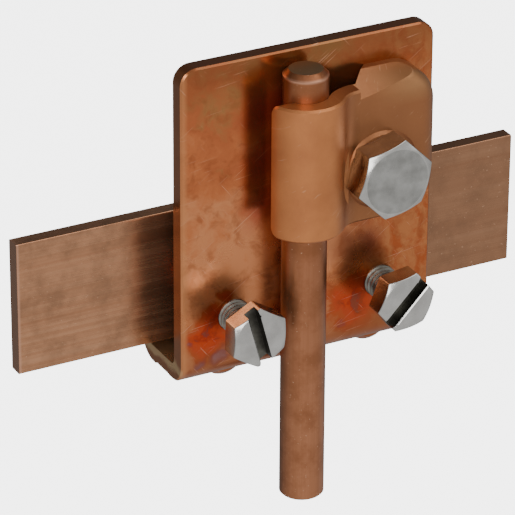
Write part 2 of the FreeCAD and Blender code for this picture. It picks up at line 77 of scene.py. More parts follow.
def add(tree, kind, inputs=None, stops=(), **settings):
    """Adds a node: each input gets a value or the socket that feeds it, and a ramp its stops."""
    node = tree.nodes.new(kind)
    for name, value in settings.items():
        setattr(node, name, value)
    for name, value in (inputs or {}).items():
        if isinstance(value, bpy.types.NodeSocket):
            tree.links.new(value, node.inputs[name])
        else:
            node.inputs[name].default_value = value
    for index, (position, hex_colour) in enumerate(stops):
        elements = node.color_ramp.elements
        element = elements[index] if index < len(elements) else elements.new(position)
        element.position = position
        element.color = linear(hex_colour)
    return node


def new_material(name, metallic):
    """Empty material: its node tree, its shader and the piece's own coordinates."""
    material = bpy.data.materials.new(name)
    material.use_nodes = True
    tree = material.node_tree
    tree.nodes.clear()
    shader = add(tree, "ShaderNodeBsdfPrincipled", {"Metallic": metallic})
    add(tree, "ShaderNodeOutputMaterial", {"Surface": shader.outputs["BSDF"]})
    place = add(tree, "ShaderNodeTexCoord").outputs["Object"]
    return material, tree, shader, place


def mixed(tree, factor, first, second):
    """Colour between two others."""
    inputs = {FACTOR: factor, FIRST: first, SECOND: second}
    return add(tree, "ShaderNodeMix", inputs, data_type="RGBA").outputs[MIXED]


def drawn_copper(name, stretch, light, dark, darker_tone, sawn, darker_run, edge_highlight, roughness):
    """Satin drawn copper: brown oxide with fine die lines, dull sawn ends and a painted highlight line along
    an edge.

    The brown darkens along the piece between two places: painted shade on the bar, darker towards the right,
    and darker towards the top on the rod. The die lines and nicks are drawn coarser than the real ones, to
    show at all.
    """
    material, tree, shader, place = new_material(name, 0.9)
    along = add(tree, "ShaderNodeMapping", {"Vector": place, "Scale": stretch}).outputs["Vector"]
    lines = add(tree, "ShaderNodeTexNoise", {"Vector": along, "Scale": 1.0, "Detail": 5.0, "Roughness": 0.65})
    lines = lines.outputs["Fac"]
    line_mask = add(tree, "ShaderNodeMapRange", {"Value": lines, "From Min": 0.3, "From Max": 0.72})
    blotches = add(tree, "ShaderNodeTexNoise", {
        "Vector": place,
        "Scale": repeats(5),
        "Detail": 8.0,
        "Roughness": 0.66,
    })
    stain_mask = add(tree, "ShaderNodeMapRange", {
        "Value": blotches.outputs["Fac"],
        "From Min": 0.42,
        "From Max": 0.64,
        "To Max": 0.6,
    })
    base = mixed(tree, line_mask.outputs["Result"], linear(dark), linear(light))
    # Darker along the axis: painted shade on the bar, darker towards the right; on the rod, darker towards
    # the top.
    axis, start, end, share = darker_run
    parts = add(tree, "ShaderNodeSeparateXYZ", {"Vector": place})
    darker_along = add(tree, "ShaderNodeMapRange", {
        "Value": parts.outputs[axis],
        "From Min": start * MM,
        "From Max": end * MM,
        "To Max": share,
    })
    base = mixed(tree, stain_mask.outputs["Result"], base, linear(darker_tone))
    base = mixed(tree, darker_along.outputs["Result"], base, linear(darker_tone))
    facing = add(tree, "ShaderNodeSeparateXYZ", {"Vector": add(tree, "ShaderNodeTexCoord").outputs["Normal"]})
    endward = add(tree, "ShaderNodeMath", {0: facing.outputs[axis]}, operation="ABSOLUTE").outputs[0]
    end_mask = add(tree, "ShaderNodeMapRange", {
        "Value": endward,
        "From Min": 0.75,
        "From Max": 0.95,
        "To Max": 0.8,
    })
    base = mixed(tree, end_mask.outputs["Result"], base, linear(sawn))
    # Painted highlight line along an edge, where a rounded edge would catch the light.
    edge_place, edge_reach = edge_highlight
    from_edge = add(tree, "ShaderNodeMath", {
        0: parts.outputs[axis],
        1: edge_place * MM,
    }, operation="SUBTRACT")
    from_edge = add(tree, "ShaderNodeMath", {0: from_edge.outputs[0]}, operation="ABSOLUTE")
    painted_edge_highlight = add(tree, "ShaderNodeMapRange", {
        "Value": from_edge.outputs[0],
        "From Min": edge_reach * MM,
        "From Max": 0.0,
        "To Max": 0.7,
    })
    base = mixed(tree, painted_edge_highlight.outputs["Result"], base, linear("#D09C80"))
    grit = add(tree, "ShaderNodeTexNoise", {
        "Vector": place,
        "Scale": repeats(0.45),
        "Detail": 2.0,
    })
    nicked = add(tree, "ShaderNodeMapRange", {
        "Value": grit.outputs["Fac"],
        "From Min": 0.7,
        "From Max": 0.75,
        "To Max": 0.5,
    })
    base = mixed(tree, nicked.outputs["Result"], base, linear("#D8AC8C"))
    gloss = add(tree, "ShaderNodeMapRange", {
        "Value": lines,
        "From Min": 0.3,
        "From Max": 0.7,
        "To Min": roughness - 0.05,
        "To Max": roughness + 0.05,
    })
    bump = add(tree, "ShaderNodeBump", {"Strength": 0.2, "Distance": 0.02 * MM, "Height": lines})
    tree.links.new(base, shader.inputs["Base Color"])
    tree.links.new(gloss.outputs["Result"], shader.inputs["Roughness"])
    tree.links.new(bump.outputs["Normal"], shader.inputs["Normal"])
    return material


# Where the cleat's colour changes along X or Z, in millimetres: from the channel to the wing, which is darker
# as painted shade, up the turned rim, and past the rim's sloping end, where the rim is lighter as painted
# light.
WING_X = (51, 56)
RIM_Z = (32, 35)
SLOPE_X = (60, 68)


def pressed_copper():
    """Matt copper of the pressed cleat: an even skin with a fine grain, darker on the wing as painted shade,
    and lighter on the turned rim's right part as painted light.

    The grain and the nicks are drawn coarser than the real ones, to show at all.
    """
    material, tree, shader, place = new_material("matt_pressed_copper", 0.85)
    parts = add(tree, "ShaderNodeSeparateXYZ", {"Vector": place})
    grain = add(tree, "ShaderNodeTexNoise", {"Vector": place, "Scale": repeats(0.5), "Detail": 4.0})
    clouds = add(tree, "ShaderNodeTexNoise", {"Vector": place, "Scale": repeats(6), "Detail": 4.0})
    cloud_mask = add(tree, "ShaderNodeMapRange", {
        "Value": clouds.outputs["Fac"],
        "From Min": 0.35,
        "From Max": 0.7,
    })
    # Painted shade: the wing darker than the channel.
    wing_shade = add(tree, "ShaderNodeMapRange", {
        "Value": parts.outputs["X"],
        "From Min": WING_X[0] * MM,
        "From Max": WING_X[1] * MM,
        "To Max": 0.8,
    })
    rim_light_rise = add(tree, "ShaderNodeMapRange", {
        "Value": parts.outputs["Z"],
        "From Min": RIM_Z[0] * MM,
        "From Max": RIM_Z[1] * MM,
        "To Max": 0.6,
    })
    base = mixed(tree, cloud_mask.outputs["Result"], linear("#BE7A4A"), linear("#AC6C42"))
    base = mixed(tree, wing_shade.outputs["Result"], base, linear("#835638"))
    past_slope = add(tree, "ShaderNodeMapRange", {
        "Value": parts.outputs["X"],
        "From Min": SLOPE_X[0] * MM,
        "From Max": SLOPE_X[1] * MM,
    })
    # Painted light: the turned rim lighter past its sloping end, where it faces up.
    rim_light = add(tree, "ShaderNodeMath", {
        0: rim_light_rise.outputs["Result"],
        1: past_slope.outputs["Result"],
    }, operation="MULTIPLY")
    base = mixed(tree, rim_light.outputs[0], base, linear("#AC7E54"))
    nicks = add(tree, "ShaderNodeMapping", {
        "Vector": place,
        "Rotation": (0, math.radians(-40), 0),
        "Scale": (2.5 * MM, THROUGH * MM, 0.3 * MM),
    }, vector_type="TEXTURE")
    nicks = add(tree, "ShaderNodeTexNoise", {"Vector": nicks.outputs["Vector"], "Scale": 1.0, "Detail": 3.0})
    nicked = add(tree, "ShaderNodeMapRange", {
        "Value": nicks.outputs["Fac"],
        "From Min": 0.68,
        "From Max": 0.72,
        "To Max": 0.3,
    })
    base = mixed(tree, nicked.outputs["Result"], base, linear("#D8A680"))
    gloss = add(tree, "ShaderNodeMapRange", {
        "Value": grain.outputs["Fac"],
        "From Min": 0.3,
        "From Max": 0.7,
        "To Min": 0.36,
        "To Max": 0.46,
    })
    bump = add(tree, "ShaderNodeBump", {
        "Strength": 0.15,
        "Distance": 0.02 * MM,
        "Height": grain.outputs["Fac"],
    })
    tree.links.new(base, shader.inputs["Base Color"])
    tree.links.new(gloss.outputs["Result"], shader.inputs["Roughness"])
    tree.links.new(bump.outputs["Normal"], shader.inputs["Normal"])
    return material


# Heat tint on the saddle's plate: place (x, z) and reach in millimetres,
# and how far the oxide film has gone in the middle.
TINT_SPOTS = (
    (32.0, -7.4, 7.5, 1.05),
    (60.5, -8.0, 9.5, 0.95),
    (35.0, -1.0, 3.0, 0.7),
)
# Where the film has gone on to violet and lilac.
VIOLET_SPOTS = (
    (30.6, -12.8, 2.2, 0.8),
    (34.2, -12.4, 2.6, 0.9),
    (37.6, -12.0, 2.0, 0.8),
    (28.6, -9.0, 1.2, 0.8),
    (60.8, -5.6, 1.0, 0.7),
    (57.0, -11.6, 1.6, 0.8),
)
# Painted reflection: deep red beside the cleat, where the plate mirrors the cleat's copper.
PAINTED_REFLECTION_SPOTS = (
    (43.0, 15.0, 7.0, 0.8),
    (43.0, 24.0, 7.0, 0.8),
    (43.0, 33.0, 7.0, 0.8),
)
# Painted shadow: darker brown between the cleat and the right screw, under the cleat's wing and bolt.
PAINTED_SHADOW_SPOTS = (
    (62.5, 4.5, 6.0, 0.8),
    (58.5, 3.5, 5.0, 0.7),
    (61.0, 8.5, 5.0, 0.6),
)
# Where the saddle's colour or gloss changes along X or Z, in millimetres, each
# from the place where the change starts to the place where it is complete.
OLIVE_TO_PINK_Z = (42, 8)
RUSTY_RIGHT_X = (56, 68)
BROWN_TOP_Z = (34, 42)
BROWN_BEND_Z = (-9, -14)
# The plate's left edge gets a painted highlight strip.
HIGHLIGHT_LEFT_X = (PLATE_LEFT + 1.4, PLATE_LEFT + 0.6)
CUT_END_Z = (-12.6, -13.6)
BURNISH_HIGHLIGHT_Z = (-15.5, -14.6)
DULLER_BELOW_Z = (16, 4)
# How far the pattern of the stains is pushed about, in millimetres.
WANDER = 6
# Scratches: turn in the plate's face in degrees, length and width in
# millimetres, and the noise level above which a scratch shows.
SCRATCHES = (
    (-36, 12.0, 0.20, 0.72),
    (52, 6.0, 0.18, 0.73),
    (-8, 9.0, 0.16, 0.72),
)


def nearness(tree, place, spots):
    """How near a place is to any of the spots, weighted by their strengths."""
    nearest = 0.0
    for x, z, reach, strength in spots:
        spot = Vector((x, PLATE_FRONT, z)) * MM
        away = add(tree, "ShaderNodeVectorMath", {0: place, 1: spot}, operation="DISTANCE")
        near = add(tree, "ShaderNodeMapRange", {
            "Value": away.outputs["Value"],
            "From Min": reach * MM,
            "From Max": 0.0,
            "To Max": strength,
        }, interpolation_type="SMOOTHSTEP")
        nearest = add(tree, "ShaderNodeMath", {
            0: near.outputs["Result"],
            1: nearest,
        }, operation="MAXIMUM").outputs[0]
    return nearest


def wandering(tree, place):
    """The piece's coordinates, pushed about a little so that stains get ragged edges."""
    noise = add(tree, "ShaderNodeTexNoise", {"Vector": place, "Scale": repeats(5), "Detail": 3.0})
    push = add(tree, "ShaderNodeVectorMath", {
        0: noise.outputs["Color"],
        1: (0.5, 0.5, 0.5),
    }, operation="SUBTRACT")
    push = add(tree, "ShaderNodeVectorMath", {0: push.outputs[0], "Scale": WANDER * MM}, operation="SCALE")
    return add(tree, "ShaderNodeVectorMath", {0: place, 1: push.outputs[0]}, operation="ADD").outputs[0]


def bloomed(tree, bloom, parts):
    """Bloom of the rolled face, from olive at the top to pink lower down."""
    lowness = add(tree, "ShaderNodeMapRange", {
        "Value": parts.outputs["Z"],
        "From Min": OLIVE_TO_PINK_Z[0] * MM,
        "From Max": OLIVE_TO_PINK_Z[1] * MM,
        "To Max": 0.45,
    })
    tone = add(tree, "ShaderNodeMath", {0: bloom, 1: lowness.outputs["Result"]}, operation="ADD").outputs[0]
    return add(tree, "ShaderNodeValToRGB", {"Fac": tone}, stops=(
        (0.3, "#927444"),
        (0.5, "#A86E42"),
        (0.62, "#B2623A"),
        (0.78, "#BE6E42"),
        (0.95, "#CC8458"),
    )).outputs["Color"]


def streaked(tree, base, drifted, parts):
    """Rusty streaks on the plate's right, and a browner top."""
    streaks = add(tree, "ShaderNodeMapping", {
        "Vector": drifted,
        "Scale": (repeats(2.0), repeats(2.0), repeats(5.0)),
    })
    streaks = add(tree, "ShaderNodeTexNoise", {
        "Vector": streaks.outputs["Vector"],
        "Scale": 1.0,
        "Detail": 5.0,
        "Roughness": 0.65,
    })
    streak_mask = add(tree, "ShaderNodeMapRange", {
        "Value": streaks.outputs["Fac"],
        "From Min": 0.42,
        "From Max": 0.62,
        "To Max": 0.85,
    })
    rightward = add(tree, "ShaderNodeMapRange", {
        "Value": parts.outputs["X"],
        "From Min": RUSTY_RIGHT_X[0] * MM,
        "From Max": RUSTY_RIGHT_X[1] * MM,
    })
    on_right = add(tree, "ShaderNodeMath", {
        0: streak_mask.outputs["Result"],
        1: rightward.outputs["Result"],
    }, operation="MULTIPLY").outputs[0]
    raised = add(tree, "ShaderNodeMapRange", {
        "Value": parts.outputs["Z"],
        "From Min": BROWN_TOP_Z[0] * MM,
        "From Max": BROWN_TOP_Z[1] * MM,
        "To Max": 0.6,
    })
    base = mixed(tree, rightward.outputs["Result"], base, linear("#B47044"))
    base = mixed(tree, on_right, base, linear("#A44E28"))
    return mixed(tree, raised.outputs["Result"], base, linear("#7E4A2C"))


def heat_tinted(tree, base, drifted, parts, ragged):
    """Orange-red oxide film beside the screws, browner at the bend and gone violet in places."""
    grown = add(tree, "ShaderNodeMapRange", {
        "Value": ragged,
        "From Min": 0.3,
        "From Max": 0.7,
        "To Min": 0.5,
        "To Max": 1.3,
    }).outputs["Result"]
    film = add(tree, "ShaderNodeMath", {
        0: nearness(tree, drifted, TINT_SPOTS),
        1: grown,
    }, operation="MULTIPLY").outputs[0]
    tint = add(tree, "ShaderNodeValToRGB", {"Fac": film}, stops=(
        (0.1, "#A85E34"),
        (0.3, "#B0522C"),
        (0.5, "#B84826"),
        (0.7, "#BA4222"),
        (0.9, "#A4341C"),
        (1.15, "#863A32"),
    )).outputs["Color"]
    shown = add(tree, "ShaderNodeMapRange", {"Value": film, "From Min": 0.05, "From Max": 0.3})
    base = mixed(tree, shown.outputs["Result"], base, tint)
    lowered = add(tree, "ShaderNodeMapRange", {
        "Value": parts.outputs["Z"],
        "From Min": BROWN_BEND_Z[0] * MM,
        "From Max": BROWN_BEND_Z[1] * MM,
        "To Max": 0.75,
    })
    base = mixed(tree, lowered.outputs["Result"], base, linear("#8A4E30"))
    late = add(tree, "ShaderNodeMath", {
        0: nearness(tree, drifted, VIOLET_SPOTS),
        1: grown,
    }, operation="MULTIPLY").outputs[0]
    violet = add(tree, "ShaderNodeValToRGB", {"Fac": late}, stops=(
        (0.2, "#7A3430"),
        (0.5, "#744448"),
        (0.9, "#86666A"),
    )).outputs["Color"]
    shown = add(tree, "ShaderNodeMapRange", {
        "Value": late,
        "From Min": 0.1,
        "From Max": 0.55,
        "To Max": 0.7,
    })
    return mixed(tree, shown.outputs["Result"], base, violet)


def painted_light_and_flecks(tree, base, drifted, ragged):
    """Painted reflection in red and painted shadow in brown beside the cleat, with brown flecks all over."""
    # Painted reflection of the cleat's copper in the plate.
    base = mixed(tree, nearness(tree, drifted, PAINTED_REFLECTION_SPOTS), base, linear("#A04638"))
    # Painted shadow under the cleat's wing and bolt.
    base = mixed(tree, nearness(tree, drifted, PAINTED_SHADOW_SPOTS), base, linear("#7E4230"))
    fleck = add(tree, "ShaderNodeMapRange", {
        "Value": ragged,
        "From Min": 0.5,
        "From Max": 0.66,
        "To Max": 0.5,
    })
    return mixed(tree, fleck.outputs["Result"], base, linear("#8E4A2A"))


def highlighted_and_scratched(tree, base, place):
    """Painted highlight strip along the plate's left edge, and fine bright scratches."""
    # Painted highlight along the rounded left edge.
    edge_highlight = add(tree, "ShaderNodeMapRange", {
        "Value": add(tree, "ShaderNodeSeparateXYZ", {"Vector": place}).outputs["X"],
        "From Min": HIGHLIGHT_LEFT_X[0] * MM,
        "From Max": HIGHLIGHT_LEFT_X[1] * MM,
        "To Max": 0.6,
    })
    base = mixed(tree, edge_highlight.outputs["Result"], base, linear("#CC8858"))
    for turn, length, width, level in SCRATCHES:
        turned = add(tree, "ShaderNodeMapping", {
            "Vector": place,
            "Rotation": (0, math.radians(turn), 0),
            "Scale": (length * MM, THROUGH * MM, width * MM),
        }, vector_type="TEXTURE")
        marks = add(tree, "ShaderNodeTexNoise", {
            "Vector": turned.outputs["Vector"],
            "Scale": 1.0,
            "Detail": 2.0,
        })
        scratch = add(tree, "ShaderNodeMapRange", {
            "Value": marks.outputs["Fac"],
            "From Min": level - 0.02,
            "From Max": level + 0.02,
            "To Max": 0.6,
        })
        base = mixed(tree, scratch.outputs["Result"], base, linear("#E2A888"))
    return base


def sheared(tree, base, parts):
    """Dull brown sheared edges, and a pale painted highlight on the burnished band where the bend's end was
    cut.
    """
    facing = add(tree, "ShaderNodeTexCoord").outputs["Normal"]
    facing = add(tree, "ShaderNodeSeparateXYZ", {"Vector": facing})
    sideways = add(tree, "ShaderNodeMath", {0: facing.outputs["X"]}, operation="ABSOLUTE").outputs[0]
    edge = add(tree, "ShaderNodeMath", {0: sideways, 1: facing.outputs["Z"]}, operation="MAXIMUM").outputs[0]
    edge_mask = add(tree, "ShaderNodeMapRange", {
        "Value": edge,
        "From Min": 0.6,
        "From Max": 0.9,
        "To Max": 0.6,
    }).outputs["Result"]
    base = mixed(tree, edge_mask, base, linear("#8A5A3E"))
    low_end = add(tree, "ShaderNodeMapRange", {
        "Value": parts.outputs["Z"],
        "From Min": CUT_END_Z[0] * MM,
        "From Max": CUT_END_Z[1] * MM,
    }).outputs["Result"]
    inner_half = add(tree, "ShaderNodeMapRange", {
        "Value": parts.outputs["Z"],
        "From Min": BURNISH_HIGHLIGHT_Z[0] * MM,
        "From Max": BURNISH_HIGHLIGHT_Z[1] * MM,
    }).outputs["Result"]
    # The burnished band of the cut end, painted pale as a highlight.
    burnish_highlight = add(tree, "ShaderNodeMath", {0: low_end, 1: inner_half}, operation="MULTIPLY").outputs[0]
    burnish_highlight = add(tree, "ShaderNodeMath", {0: burnish_highlight, 1: edge_mask}, operation="MULTIPLY").outputs[0]
    return mixed(tree, burnish_highlight, base, linear("#EACB96"))


def tinted_copper():
    """Bright rolled copper of the saddle: glossy with soft reflections, under bloom and heat tint."""
    material, tree, shader, place = new_material("heat_tinted_copper", 0.92)
    drifted = wandering(tree, place)
    parts = add(tree, "ShaderNodeSeparateXYZ", {"Vector": drifted})
    bloom = add(tree, "ShaderNodeTexNoise", {
        "Vector": drifted,
        "Scale": repeats(8),
        "Detail": 6.0,
        "Roughness": 0.62,
    }).outputs["Fac"]
    ragged = add(tree, "ShaderNodeTexNoise", {
        "Vector": drifted,
        "Scale": repeats(3),
        "Detail": 5.0,
        "Roughness": 0.6,
    }).outputs["Fac"]
    base = bloomed(tree, bloom, parts)
    base = streaked(tree, base, drifted, parts)
    base = heat_tinted(tree, base, drifted, parts, ragged)
    base = painted_light_and_flecks(tree, base, drifted, ragged)
    base = highlighted_and_scratched(tree, base, place)
    base = sheared(tree, base, parts)

    haze = add(tree, "ShaderNodeMapRange", {
        "Value": bloom,
        "From Min": 0.3,
        "From Max": 0.7,
        "To Min": 0.17,
        "To Max": 0.24,
    })
    worn_low = add(tree, "ShaderNodeMapRange", {
        "Value": parts.outputs["Z"],
        "From Min": DULLER_BELOW_Z[0] * MM,
        "From Max": DULLER_BELOW_Z[1] * MM,
        "To Max": 0.09,
    })
    gloss = add(tree, "ShaderNodeMath", {
        0: haze.outputs["Result"],
        1: worn_low.outputs["Result"],
    }, operation="ADD")
    tree.links.new(base, shader.inputs["Base Color"])
    tree.links.new(gloss.outputs[0], shader.inputs["Roughness"])
    return material


def stainless(name, light, dark, roughness):
    """Stainless steel of the bolt and screws: an even grey with a soft satin grain.

    The grain is drawn coarser than the real one, to show at all.
    """
    material, tree, shader, place = new_material(name, 1.0)
    grain = add(tree, "ShaderNodeTexNoise", {"Vector": place, "Scale": repeats(0.6), "Detail": 4.0})
    clouds = add(tree, "ShaderNodeTexNoise", {"Vector": place, "Scale": repeats(3), "Detail": 4.0})
    cloud_mask = add(tree, "ShaderNodeMapRange", {
        "Value": clouds.outputs["Fac"],
        "From Min": 0.35,
        "From Max": 0.65,
    })
    base = mixed(tree, cloud_mask.outputs["Result"], linear(light), linear(dark))
    gloss = add(tree, "ShaderNodeMapRange", {
        "Value": grain.outputs["Fac"],
        "From Min": 0.3,
        "From Max": 0.7,
        "To Min": roughness - 0.04,
        "To Max": roughness + 0.04,
    })
    bump = add(tree, "ShaderNodeBump", {
        "Strength": 0.08,
        "Distance": 0.01 * MM,
        "Height": grain.outputs["Fac"],
    })
    tree.links.new(base, shader.inputs["Base Color"])
    tree.links.new(gloss.outputs["Result"], shader.inputs["Roughness"])
    tree.links.new(bump.outputs["Normal"], shader.inputs["Normal"])
    return material


def dress(node, material):
    """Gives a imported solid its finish."""
    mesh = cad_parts[node].data
    mesh.materials.clear()
    mesh.materials.append(material)


# The darkening run gives an axis, the places along it in millimetres where the brown starts to darken and is
# darkest, and its share there: painted shade on the bar, and darker towards the top on the rod. The edge
# highlight gives an edge's place on that axis and how far its painted highlight line reaches, in millimetres.
BAR_FINISH = drawn_copper(
    "satin_drawn_copper_bar",
    stretch=(repeats(160), repeats(14), repeats(1.2)),
    light="#C08E6C",
    dark="#A87454",
    darker_tone="#7F5D46",
    sawn="#7C5C48",
    # Painted shade: the bar darkens towards the right.
    darker_run=("X", 20, 70, 0.6),
    # Painted highlight line along the bar's left end.
    edge_highlight=(0.2, 0.4),
    roughness=0.27,
)
ROD_FINISH = drawn_copper(
    "satin_drawn_copper_rod",
    stretch=(repeats(2.2), repeats(2.2), repeats(110)),
    light="#B07656",
    dark="#966242",
    darker_tone="#7E4C2E",
    sawn="#947A5A",
    darker_run=("Z", -25, 25, 0.6),
    # Painted highlight ring at the rod's top chamfer.
    edge_highlight=(40.3, 0.4),
    roughness=0.34,
)
dress("flat_bar", BAR_FINISH)
dress("round_conductor", ROD_FINISH)
dress("cleat", pressed_copper())
dress("saddle_body", tinted_copper())

# Steels of the bolt and screws: satin forged sides, bright struck flats and edges, duller rolled threads, and
# a milled slot made dark by some dirt and by painted shade, darkest on its walls.
FORGED_STEEL = stainless("satin_stainless_steel", "#AAA9A5", "#8E8D89", 0.3)
BRIGHT_STEEL = stainless("bright_stainless_flats", "#C0BEBA", "#AEACA8", 0.2)
ROLLED_STEEL = stainless("rolled_stainless_threads", "#8A8880", "#66645C", 0.34)
# Slot floor and walls: darker copies of the steel, some dirt and painted shade.
MILLED_STEEL = stainless("milled_stainless_slot_floor", "#6E6C64", "#46443E", 0.38)
SHADED_WALL_STEEL = stainless("shaded_stainless_slot_walls", "#4C4B46", "#34332F", 0.34)
STEELS = (FORGED_STEEL, BRIGHT_STEEL, ROLLED_STEEL, MILLED_STEEL, SHADED_WALL_STEEL)
FORGED, BRIGHT, ROLLED, MILLED, SHADED_WALLS = range(5)

# The two slotted M6 screws and the M8 bolt, right-handed and coarse. Lengths
# are in millimetres and turns in degrees: seat and face are where the head's
# underside and outer face lie along Y, flats is its width over two sides, and
# its first corner stands at turn from +X towards +Z. dish is how far the middle
# of the face is sunk, face_finish its steel, and slot_turn the way the driving
# slot runs, from +X towards +Z, or None where the head has no slot.
FASTENERS = (
    {
        "node": "clamp_bolt",
        "body": "clamp_bolt",
        "radius": 4.0,
        "pitch": 1.25,
        "flats": 12.8,
        "seat": -18.9,
        "face": -24.2,
        "turn": 15.0,
        "dish": 0.1,
        "face_finish": FORGED,
        "slot_turn": None,
    },
    {
        "node": "pressure_screw_left",
        "body": "screw_left",
        "radius": 3.0,
        "pitch": 1.0,
        "flats": 9.85,
        "seat": -17.5,
        "face": -21.5,
        "turn": 28.2,
        "dish": 0.0,
        "face_finish": BRIGHT,
        "slot_turn": 105.0,
    },
    {
        "node": "pressure_screw_right",
        "body": "screw_right",
        "radius": 3.0,
        "pitch": 1.0,
        "flats": 9.85,
        "seat": -17.5,
        "face": -21.5,
        "turn": 8.6,
        "dish": 0.0,
        "face_finish": BRIGHT,
        "slot_turn": 45.7,
    },
)

# One turn of the thread's ridge, as places along the pitch, with its depth as a
# share of the pitch. It starts some way behind the neck and runs on past the
# tip, so that it is whole where it is cut off.
RIDGE = (("root", 0.0), ("root", 0.25), ("crest", 0.5625), ("crest", 0.6875), ("root", 1.0))
THREAD_DEPTH = 0.613
PITCHES_BEHIND = 1.5
TURNS_BEYOND = 2
STEPS_PER_TURN = 40

# Sizes of the heads and shanks in millimetres. The face's round edge and the
# dish in it are shares of the head's width and of that edge.
NECK = 0.6
TIP_CHAMFER = 0.7
FACE_SHARE = 0.94
DISH_SHARE = 0.9
CORNER_ROUND = 0.3
CORNER_STEPS = 4
SIDE_STEPS = 10
EDGE_EASE = 0.07
SLOT_WIDTH = 2.2
SLOT_DEPTH = 2.2
SLOT_EDGE = 0.2

# Degrees from one corner of a hexagon to the next, and half of that.
CORNER_TURN = 60
HALF_CORNER = CORNER_TURN / 2
# The slope of a head's chamfer, and the bend from which an edge stays sharp.
HEAD_CHAMFER = math.radians(30)
SHARP_ANGLE = math.radians(20)

# A face whose normal leans this much along Y is part of the slot's lip.
LIP_FACING = 0.4

# In metres: how near two places count as the same, and how near a cut of the
# slot or a merge of the thread takes in a vertex.
SAME_PLACE = 1e-7
SLOT_SNAP = 1e-8
THREAD_MERGE = 1e-6


def put_in_order(shape):
    """Sorts edges and faces by the vertices they join, so that every run gives the same mesh."""
    shape.verts.index_update()
    count = len(shape.verts)

    def rank(part):
        lowest = sorted(vert.index for vert in part.verts)[:3]
        return sum(index * count ** (2 - level) for level, index in enumerate(lowest))

    shape.edges.sort(key=rank)
    shape.faces.sort(key=rank)


def new_piece(name, shape, materials):
    """Object of a finished shape, smooth but for its sharp edges."""
    put_in_order(shape)
    mesh = bpy.data.meshes.new(name)
    shape.to_mesh(mesh)
    shape.free()
    mesh.shade_smooth()
    mesh.set_sharp_from_angle(angle=SHARP_ANGLE)
    for material in materials:
        mesh.materials.append(material)
    piece = bpy.data.objects.new(name, mesh)
    bpy.context.collection.objects.link(piece)
    return piece


def cut_off(shape, level, side):
    """Cuts a closed shape square across Y, drops what lies on one side and closes the end."""
    everything = shape.verts[:] + shape.edges[:] + shape.faces[:]
    bmesh.ops.bisect_plane(
        shape,
        geom=everything,
        dist=SAME_PLACE,
        plane_co=(0, level, 0),
        plane_no=(0, side, 0),
        clear_outer=True,
    )
    rim = [edge for edge in shape.edges if edge.is_boundary]
    bmesh.ops.holes_fill(shape, edges=rim, sides=0)


def hexagon(flats, turn):
    """Outline of a hexagon with rounded corners, as plane polar pairs (angle, distance)."""
    points = []
    corner = flats / 2 / math.cos(math.radians(HALF_CORNER))
    inset = corner - CORNER_ROUND / math.cos(math.radians(HALF_CORNER))
    for side in range(6):
        centre = math.radians(turn + CORNER_TURN * side)
        following = math.radians(turn + CORNER_TURN * (side + 1))
        arc = []
        for step in range(CORNER_STEPS + 1):
            angle = centre + math.radians(-HALF_CORNER + CORNER_TURN * step / CORNER_STEPS)
            arc.append((
                inset * math.cos(centre) + CORNER_ROUND * math.cos(angle),
                inset * math.sin(centre) + CORNER_ROUND * math.sin(angle),
            ))
        last = arc[-1]
        start = following - math.radians(HALF_CORNER)
        next_first = (
            inset * math.cos(following) + CORNER_ROUND * math.cos(start),
            inset * math.sin(following) + CORNER_ROUND * math.sin(start),
        )
        points += arc
        for step in range(1, SIDE_STEPS):
            share = step / SIDE_STEPS
            points.append(tuple(a + (b - a) * share for a, b in zip(last, next_first)))
    return [(math.atan2(z, x), math.hypot(x, z)) for x, z in points]


def fastener_head(item, axis_x, axis_z):
    """Hexagon head with its chamfer, eased edges and neck, and a milled slot where there is one."""
    rim = item["flats"] / 2 * FACE_SHARE
    face = item["face"]
    seat = item["seat"]
    face_finish = item["face_finish"]
    ease = EDGE_EASE
    slope = math.tan(HEAD_CHAMFER)
    shape = bmesh.new()
    rings = []
    for angle, reach in hexagon(item["flats"], item["turn"]):
        foot = face + (reach - rim) * slope
        profile = (
            (rim * DISH_SHARE, face + item["dish"], face_finish),
            (rim - ease * 2, face, face_finish),
            (rim - ease, face, face_finish),
            (rim + ease, face + ease * slope, BRIGHT),
            (reach - ease, foot - ease * slope, BRIGHT),
            (reach, foot + ease, FORGED),
            (reach, seat - ease, BRIGHT),
            (reach - ease, seat, FORGED),
            (item["radius"], seat, FORGED),
            (item["radius"], seat + NECK, FORGED),
        )
        spots = []
        for radius, y, finish in profile:
            spot = (axis_x + radius * MM * math.cos(angle), y * MM, axis_z + radius * MM * math.sin(angle))
            spots.append((shape.verts.new(spot), finish))
        rings.append(spots)
    for spots, following in zip(rings, rings[1:] + rings[:1]):
        for near, far in zip(range(len(spots)), range(1, len(spots))):
            corners = (spots[near][0], following[near][0], following[far][0], spots[far][0])
            shape.faces.new(corners).material_index = spots[far][1]
    shape.faces.new([spots[0][0] for spots in rings]).material_index = face_finish
    shape.faces.new([spots[-1][0] for spots in rings])
    if item["slot_turn"] is not None:
        mill_slot(shape, item, axis_x, axis_z)
    bmesh.ops.recalc_face_normals(shape, faces=shape.faces)
    return shape


